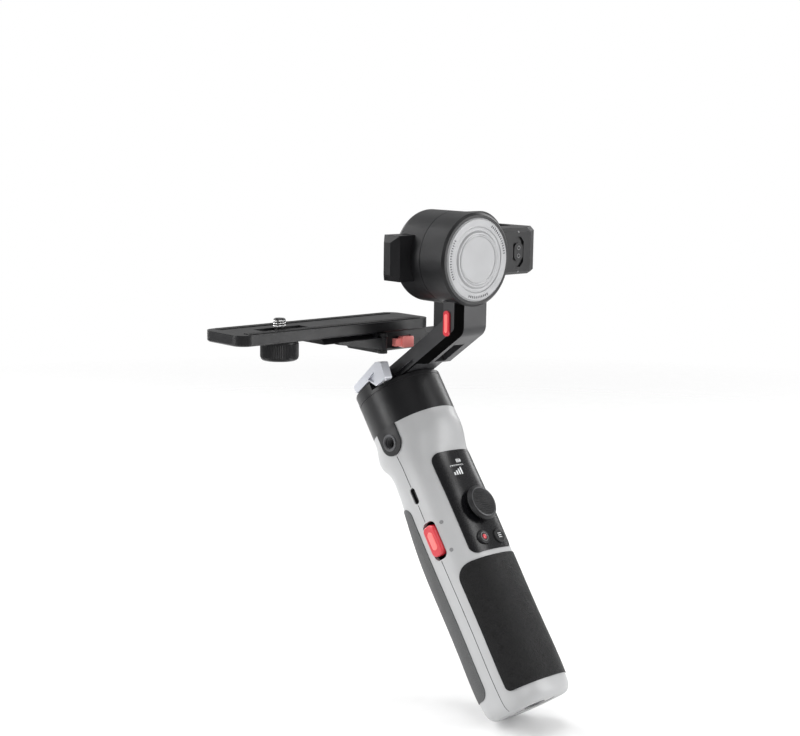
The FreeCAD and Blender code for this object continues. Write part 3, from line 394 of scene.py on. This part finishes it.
def slanted(u0, v0, u1, v1, width, count):
    """A stroke from one point to another, in count steps."""
    run, rise = u1 - u0, v1 - v0
    size = math.hypot(run, rise)
    nx, ny = -rise / size * width / 2, run / size * width / 2
    return [[(u0 + run * i / count + s * nx, v0 + rise * i / count + s * ny) for i in range(count + 1)]
            for s in (-1, 1)]


def ring(u, v, inner, outer, count=40):
    """A ring; an inner radius near nought makes a dot."""
    angles = [math.radians(360 * i / count) for i in range(count + 1)]
    return [[(u + r * math.cos(angle), v + r * math.sin(angle)) for angle in angles]
            for r in (inner, (inner + outer) / 2, outer)]


def outline(u0, v0, u1, v1, line):
    """A rectangle's border as four bars."""
    return [bar(u0, v0, u1, v0 + line), bar(u0, v1 - line, u1, v1),
            bar(u0, v0 + line, u0 + line, v1 - line), bar(u1 - line, v0 + line, u1, v1 - line)]


def capsule(u, v, half_width, half_height, rows=9, columns=7):
    """A stadium standing upright, as rows across it."""
    straight = half_height - half_width
    found = []
    for j in range(rows * 2 + 1):
        t = -1 + j / rows
        y = t * half_height
        over = max(0.0, abs(y) - straight)
        x = math.sqrt(max(0.02, half_width ** 2 - min(over, half_width) ** 2))
        found.append([(u + x * (-1 + 2 * i / (columns - 1)), v + y) for i in range(columns)])
    return found


# ---------------------------------------------------------------- handle: seams, threads and marks

FROM_LEFT, FROM_RIGHT, FROM_BACK = (1, 0, 0), (-1, 0, 0), (0, 1, 0)
shell_skin = skin_of("front_shell", "rear_shell")


def side_marks(name, sheets, side, body, finish, skin=shell_skin, corner=(0, 0, 0), place=HANDLE):
    """Marks on the left (-1) or right (1) flank; u runs forward and v runs up."""
    far = (side * 60 + corner[0], corner[1], corner[2])
    look = FROM_LEFT if side < 0 else FROM_RIGHT
    return lay(name, skin, place, far, (0, 1, 0), (0, 0, 1), look, sheets, body, finish)


def face_marks(name, sheets, skin, corner, body, finish, place=HANDLE):
    """Marks on a face that looks back; u runs right and v runs up."""
    return lay(name, skin, place, corner, (1, 0, 0), (0, 0, 1), FROM_BACK, sheets, body, finish)


# The seam between the shells; on the left it stops at the rocker, the port and the boss.
seam_half, seam_low, seam_step = 0.13, 1.0, 1.6
left_runs = [(seam_low, 85), (107.5, 117.4), (128, 146.5)]
side_marks("shell_seam_left", [bar(-seam_half, low, seam_half, high, seam_step) for low, high in left_runs],
           -1, "handle", "mark_dark")
side_marks("shell_seam_right", [bar(-seam_half, seam_low, seam_half, 162, seam_step)], 1, "handle",
           "mark_dark")

# A dot above and a dot below the rocker, and the rocker's paler inlay.
side_marks("zoom_marks", [ring(-8.9, 103.3, 0.05, 1.0), ring(-8.1, 87.8, 0.05, 1.0)], -1, "handle",
           "mark_grey")

rocker_skin = skin_of("zoom_rocker")
side_marks("rocker_inlay", [capsule(0, 0, 1.9, 5.0)], -1, "zoom_rocker", "red_pale",
           rocker_skin, (0, -1.0, 96.2))

# The lit display: a battery above a ruled line, and a gauge of four bars below it.
panel_skin = skin_of("control_panel")
battery = outline(0.2, 4.4, 3.6, 6.2, 0.3) + [bar(3.65, 4.95, 4.0, 5.65)]
battery += [bar(0.75 + 0.95 * i, 4.95, 1.35 + 0.95 * i, 5.65) for i in range(3)]
scale_line = [bar(-5.4, 2.9, 4.2, 3.12)]
scale_line += [bar(-5.4 + 1.6 * i, 2.35, -5.2 + 1.6 * i, 2.9) for i in range(7)]
gauge = [bar(-4.6 + 1.75 * i, -2.6, -3.6 + 1.75 * i, -0.9 + 0.8 * i) for i in range(4)]
face_marks("display_marks", battery + scale_line + gauge, panel_skin, (-2.2, -30, 127.2), "handle",
           "mark_white")

# The record button's dot and ring, and the menu button's three bars.
BUTTON_BACK = -30
record_place, menu_place = (-6, BUTTON_BACK, 88.2), (6, BUTTON_BACK, 87.3)
record_skin, menu_skin = skin_of("record_button"), skin_of("menu_button")
face_marks("record_dot", [ring(0, 0, 0.05, 1.35)], record_skin, record_place, "record_button",
           "plastic_red")
face_marks("record_ring", [ring(0, 0, 2.2, 2.5)], record_skin, record_place, "record_button",
           "mark_grey")
face_marks("menu_bars", [bar(-1.3, 1.0 - 1.1 * i, 1.3, 1.35 - 1.1 * i, 0.5) for i in range(3)], menu_skin,
           menu_place, "menu_button", "mark_white")

# Thumb stick: a rim and raised ribs across its dish, and teeth round its cap.
dish_edge, dish_low, dish_high = 7.4, 11.5, 12.3
rib_pitch, rib_reach, rib_high, rib_steps = 1.25, 7.1, 0.3, 12
ribs = Shape()
for k in range(-5, 6):
    v = rib_pitch * k
    reach = math.sqrt(rib_reach ** 2 - v * v)
    rows = []
    for i in range(rib_steps + 1):
        u = -reach + 2 * reach * i / rib_steps
        z = dish_low + (dish_high - dish_low) * math.hypot(u, v) / dish_edge
        lip = z + rib_high * min(1, 4 * min(i, rib_steps - i) / rib_steps + 0.2)
        rows.append([(u, v - 0.34, z - 0.1), (u, v - 0.2, lip), (u, v + 0.2, lip), (u, v + 0.34, z - 0.1)])
    ribs.grid(rows, close_u=True)
piece("stick_ribs", ribs.points, ribs.faces, STICK, "stick", "plastic_black")
rim_radius, rim_high, rim_wire = 8.1, 12.35, 0.3
rim_angles = [math.pi / 4 * n for n in range(8)]
rim = Shape().lathe([(rim_radius + rim_wire * math.cos(a), rim_high + rim_wire * math.sin(a))
                     for a in rim_angles], 96)
piece("stick_rim", rim.points, rim.faces, STICK, "stick", "metal_edge")
grip_teeth = Shape().lathe([(9.65, 10.35), (9.95, 10.5), (9.95, 11.1), (9.65, 11.3)], 132,
                           wobble=lambda i, r, z: -0.2 * (i % 2) if r > 9.8 else 0)
piece("stick_teeth", grip_teeth.points, grip_teeth.faces, STICK, "stick", "plastic_black",
      smooth=False)

# Threads in the two sockets and on the camera screw.
SOCKET = HANDLE @ Matrix.Translation((0, 0, 154.7 * MM))
socket_root, socket_crest, socket_ridge = 3.22, 2.8, 0.95
boss_thread = helix(socket_root, socket_crest, -24.2, -18.2, socket_ridge)
piece("accessory_thread", turned(boss_thread.points), boss_thread.faces, SOCKET, "handle", "metal_edge")
foot_thread = helix(socket_root, socket_crest, 0.5, 8.6, socket_ridge)
piece("tripod_thread", foot_thread.points, foot_thread.faces, HANDLE, "handle", "metal_edge")
SCREW = Matrix.Translation((-80.3 * MM, 112.5 * MM, 0))
screw_thread = helix(3.1, 3.4, 191.7, 195.6, 0.9)
piece("screw_thread", screw_thread.points, screw_thread.faces, SCREW, "camera_screw", "steel_turned")

# Knurled grip of the camera screw, and a thin ring under it.
knurl = Shape().lathe([(9.6, 176.0), (10.05, 176.3), (10.05, 183.4), (9.6, 183.7)], 144,
                      wobble=lambda i, r, z: -0.26 * (i % 2) if r > 10 else 0)
piece("knob_knurl", knurl.points, knurl.faces, SCREW, "camera_screw", "plastic_black",
      smooth=False)
groove_ring = Shape().lathe([(4.0, 175.75), (5.2, 175.75), (5.2, 175.5), (4.0, 175.5)], 72)
piece("knob_ring", groove_ring.points, groove_ring.faces, SCREW, "camera_screw", "metal_edge")

# A ring round the mouth of the side socket.
insert_ring = Shape().lathe([(3.7, -25.05), (4.4, -25.05), (4.65, -24.8), (4.65, -24.4), (3.7, -24.4)], 72)
piece("accessory_ring", turned(insert_ring.points), insert_ring.faces, SOCKET, "handle", "metal_edge")


# ---------------------------------------------------------------- motors

def gap_shade_ring(name, place, radius, low, high, body, finish):
    """A thin dark ring of painted shade in the gap between a motor's can and its bell."""
    inner = radius - 0.3
    shape = Shape().lathe([(inner, low), (radius, low), (radius, high), (inner, high)], 128)
    return piece(name, shape.points, shape.faces, place, body, finish)


# Painted shade: dark rings fill the gaps between the cans and bells of the pan and roll motors.
gap_shade_ring("pan_gap_shade", HANDLE, 23.7, 183.22, 183.48, "handle", "mark_dark")
gap_shade_ring("roll_gap_shade", ROLL, 24.2, 17.32, 17.58, "pan_arm", "mark_dark")

cap_skin = skin_of("roll_cap")
ridge = Shape().lathe([(11.9, -0.95), (12.25, -1.22), (12.7, -1.3), (13.1, -1.2), (13.4, -0.95)], 144)
piece("cap_ridge", ridge.points, ridge.faces, ROLL, "pan_arm", "metal_silver")
# Three arcs of plain ticks near the cap's edge.
tick_inner, tick_outer, tick_wide, tick_gap = 18.9, 20.1, 0.42, 4
ticks = []
for start, end in ((148, 208), (8, 62), (252, 292)):
    for angle in range(start, end + 1, tick_gap):
        c, s = math.cos(math.radians(angle)), math.sin(math.radians(angle))
        ticks.append(slanted(tick_inner * c, tick_inner * s, tick_outer * c, tick_outer * s, tick_wide, 2))
face_marks("cap_ticks", ticks, cap_skin, (0, 20, 227.3), "pan_arm", "mark_dark", WORLD)


# ---------------------------------------------------------------- arms, latches and plate

# A paler red capsule on the roll lock is a painted highlight.
lock_skin = skin_of("roll_lock_slider")
side_marks("roll_lock_highlight", [capsule(0, 0, 1.05, 5.0)], -1, "roll_lock", "red_pale",
           lock_skin, (0, 59.7, 193.8), WORLD)
latch_place = (56.3, 40, 227.3)
latch_skin = skin_of("tilt_lock_slider")
face_marks("tilt_lock_icons", [ring(0, 2.2, 0.85, 1.2), ring(0, -2.2, 0.85, 1.2)], latch_skin,
           latch_place, "tilt_lock", "mark_grey", WORLD)
elbow_skin = skin_of("roll_arm")
face_marks("tilt_lock_marks", [ring(0, 11.0, 0.05, 0.55), ring(0, -11.0, 0.05, 0.55)], elbow_skin,
           latch_place, "roll_arm", "mark_grey", WORLD)


# ---------------------------------------------------------------- floor, light and camera

def add_floor(low):
    """A pale disc just under the object that fades into the background."""
    mesh = bpy.data.meshes.new("floor")
    disc = bmesh.new()
    bmesh.ops.create_circle(disc, cap_ends=True, segments=128, radius=6.0)
    disc.to_mesh(mesh)
    disc.free()
    floor = bpy.data.objects.new("floor", mesh)
    floor.location = (0, 0, low - 0.0005)
    bpy.context.scene.collection.objects.link(floor)
    floor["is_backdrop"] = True
    paint = bpy.data.materials.new("floor_paint")
    g = Graph(paint)
    g.shader.inputs["Roughness"].default_value = 0.75
    speck = g.noise(60, 3)
    g.set(g.shader, "Base Color", g.mix(g.ramp(speck, 0.3, 0.7), (0.86, 0.86, 0.86), (0.89, 0.89, 0.89)))
    away = g.node("ShaderNodeVectorMath", {0: g.place}, operation="LENGTH").outputs["Value"]
    fade = g.ramp(away, 0.35, 1.3)
    clear = g.node("ShaderNodeBsdfTransparent", {})
    blend = g.node("ShaderNodeMixShader", {0: fade, 1: g.shader.outputs[0], 2: clear.outputs[0]})
    g.tree.links.new(blend.outputs[0], g.out.inputs["Surface"])
    mesh.materials.append(paint)


def add_world():
    """White behind the object, and a softer light on it that grows upward and towards the far side."""
    world = bpy.data.worlds.new("studio")
    bpy.context.scene.world = world
    world.use_nodes = True
    sky = world.node_tree
    sky.nodes.clear()

    def add(kind, values, operation=None):
        node = sky.nodes.new(kind)
        if operation:
            node.operation = operation
        for key, value in values.items():
            if isinstance(value, bpy.types.NodeSocket):
                sky.links.new(value, node.inputs[key])
            else:
                node.inputs[key].default_value = value
        return node

    white = (1, 1, 1, 1)
    ways = add("ShaderNodeTexCoord", {}).outputs["Generated"]
    rise = add("ShaderNodeSeparateXYZ", {0: ways}).outputs["Z"]
    height = add("ShaderNodeMapRange", {"Value": rise, "From Min": -0.3, "From Max": 0.9,
                                        "To Min": 0.3, "To Max": 1.0}).outputs["Result"]
    far_side = add("ShaderNodeVectorMath", {0: ways, 1: (0.67, 0.742, 0)}, "DOT_PRODUCT").outputs["Value"]
    depth = add("ShaderNodeMapRange", {"Value": far_side, "From Min": -0.7, "From Max": 0.7,
                                       "To Min": 0.22, "To Max": 0.8}).outputs["Result"]
    strength = add("ShaderNodeMath", {0: height, 1: depth}, "MULTIPLY").outputs[0]
    lit = add("ShaderNodeBackground", {"Strength": strength}).outputs[0]
    seen = add("ShaderNodeBackground", {"Color": white, "Strength": 1.0}).outputs[0]
    direct = add("ShaderNodeLightPath", {}).outputs["Is Camera Ray"]
    either = add("ShaderNodeMixShader", {0: direct, 1: lit, 2: seen}).outputs[0]
    add("ShaderNodeOutputWorld", {0: either})


add_floor(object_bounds()[0].z)
add_world()

# The camera looks down by DIP, towards HEADING east of +Y, and is tipped by TIP.
DIP, HEADING, TIP = math.radians(9.1), math.radians(42.1), math.radians(0.8)
ahead = Vector((math.sin(HEADING) * math.cos(DIP), math.cos(HEADING) * math.cos(DIP), -math.sin(DIP)))
level = Vector((math.cos(HEADING), -math.sin(HEADING), 0))
upward = level.cross(ahead)
right = math.cos(TIP) * level + math.sin(TIP) * upward
top = right.cross(ahead)
camera_data = bpy.data.cameras.new("camera")
camera_data.sensor_width, camera_data.lens = 36, 67.5
camera_data.clip_start, camera_data.clip_end = 0.01, 50
camera_data.dof.use_dof = False
camera = bpy.data.objects.new("camera", camera_data)
eye = Vector((-0.5500, -0.5008, 0.2944))
camera.matrix_world = Matrix(((right.x, top.x, -ahead.x, eye.x), (right.y, top.y, -ahead.y, eye.y),
                              (right.z, top.z, -ahead.z, eye.z), (0, 0, 0, 1)))
bpy.context.scene.collection.objects.link(camera)
bpy.context.scene.camera = camera
bpy.context.scene.view_settings.view_transform = "Standard"

AIM = Vector((-0.01, 0.07, 0.15))


def lamp(name, aside, over, back, size, power):
    """A soft box aimed at the object, placed to its right, above it and towards the camera."""
    data = bpy.data.lights.new(name, "AREA")
    data.shape, data.size, data.size_y = "RECTANGLE", size[0], size[1]
    data.energy = power
    obj = bpy.data.objects.new(name, data)
    flat = Vector((ahead.x, ahead.y, 0)).normalized()
    obj.location = AIM + level * aside + Vector((0, 0, over)) - flat * back
    obj.rotation_euler = (AIM - obj.location).to_track_quat("-Z", "Y").to_euler()
    bpy.context.scene.collection.objects.link(obj)


lamp("key", -1.0, 0.45, 0.25, (0.35, 1.1), 12)
lamp("side", 1.05, 0.3, 0.2, (0.35, 1.1), 9)
lamp("front", 0.35, 0.5, 1.3, (0.6, 0.6), 4)
lamp("rim_left", -0.8, 0.35, -0.8, (0.3, 0.9), 7)
lamp("rim_right", 0.7, 0.5, -0.9, (0.3, 0.9), 3.5)
lamp("top", 0.0, 1.2, 0.0, (0.8, 0.8), 7)
